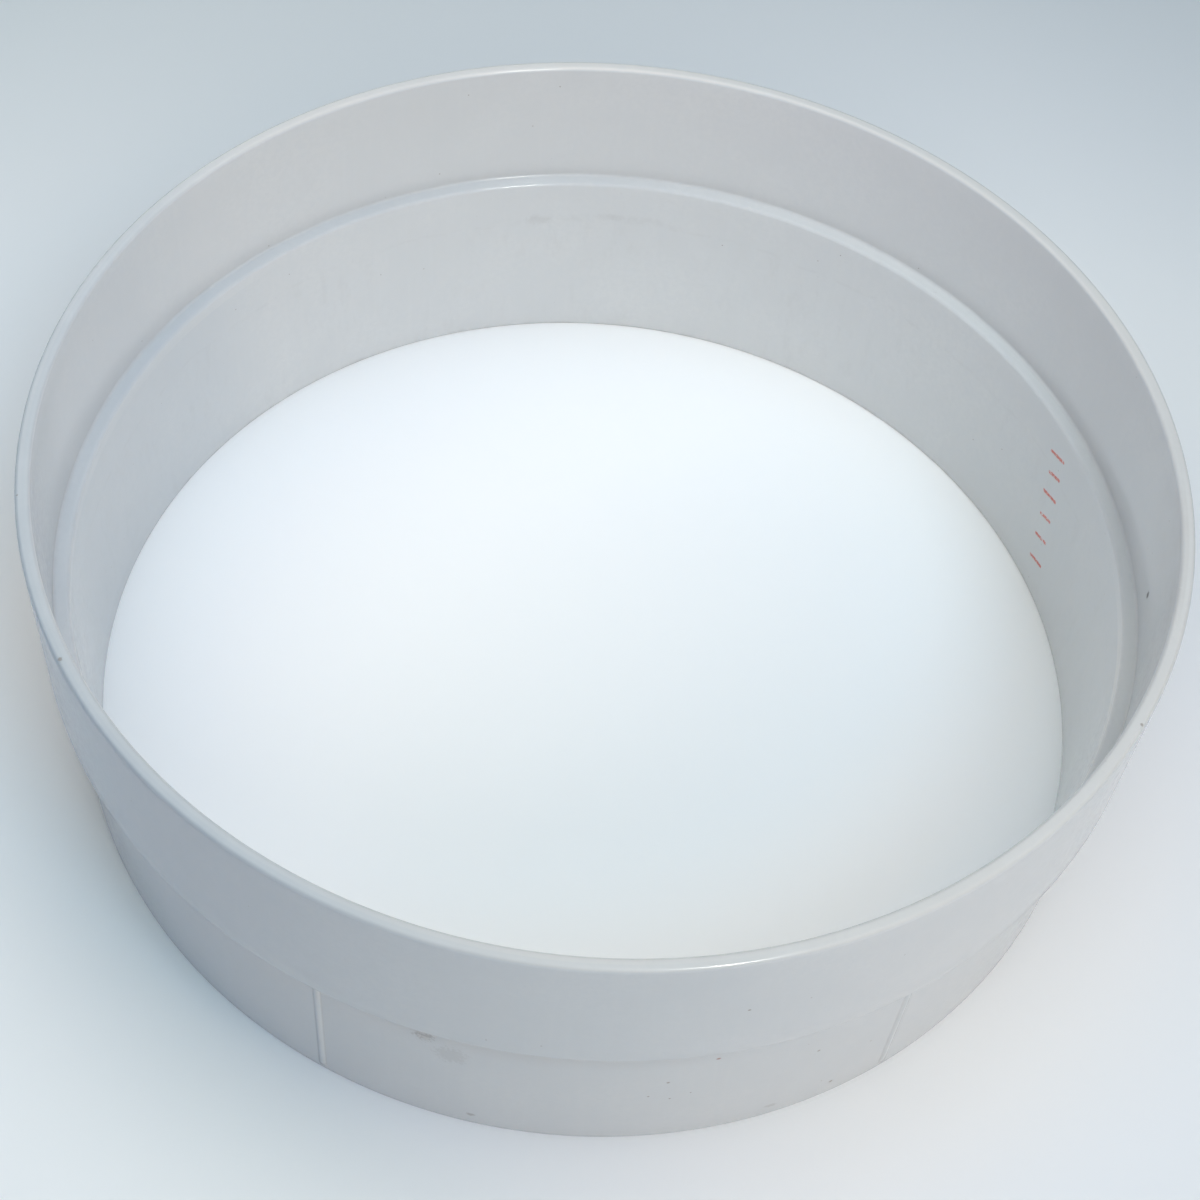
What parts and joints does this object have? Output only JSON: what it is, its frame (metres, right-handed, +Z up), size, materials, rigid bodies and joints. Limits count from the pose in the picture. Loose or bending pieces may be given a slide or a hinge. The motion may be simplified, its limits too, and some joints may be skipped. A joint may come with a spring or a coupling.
{
  "type": "toilet flange extension ring",
  "caption": "Thin-walled plastic ring with a wide socket above, a stop ledge inside and a narrower ribbed spigot below, so that rings and pipes of one size plug together.",
  "frame": {"origin": "centre of the spigot's foot plane, where the ring stands", "axes": "+Z up along the ring's axis, from the spigot's foot to the socket's rim; +X is 7 degrees short of the first guide rib"},
  "size_m": [0.4, 0.4, 0.136],
  "materials": {
    "socket_plastic": "semi-gloss moulded, light grey, rim slightly paler, faint scuffs",
    "shoulder_plastic": "semi-gloss moulded, light grey, a little grime in the root",
    "spigot_plastic": "satin moulded, light grey, fine mottling and handling marks",
    "rib_plastic": "satin moulded, light grey"
  },
  "bodies": {
    "root": {"socket_wall": "socket_plastic", "stop_shoulder": "shoulder_plastic", "spigot_wall": "spigot_plastic", "guide_rib_1": "rib_plastic", "guide_rib_2": "rib_plastic", "guide_rib_3": "rib_plastic", "guide_rib_4": "rib_plastic", "guide_rib_5": "rib_plastic", "guide_rib_6": "rib_plastic"}
  },
  "joints": []
}
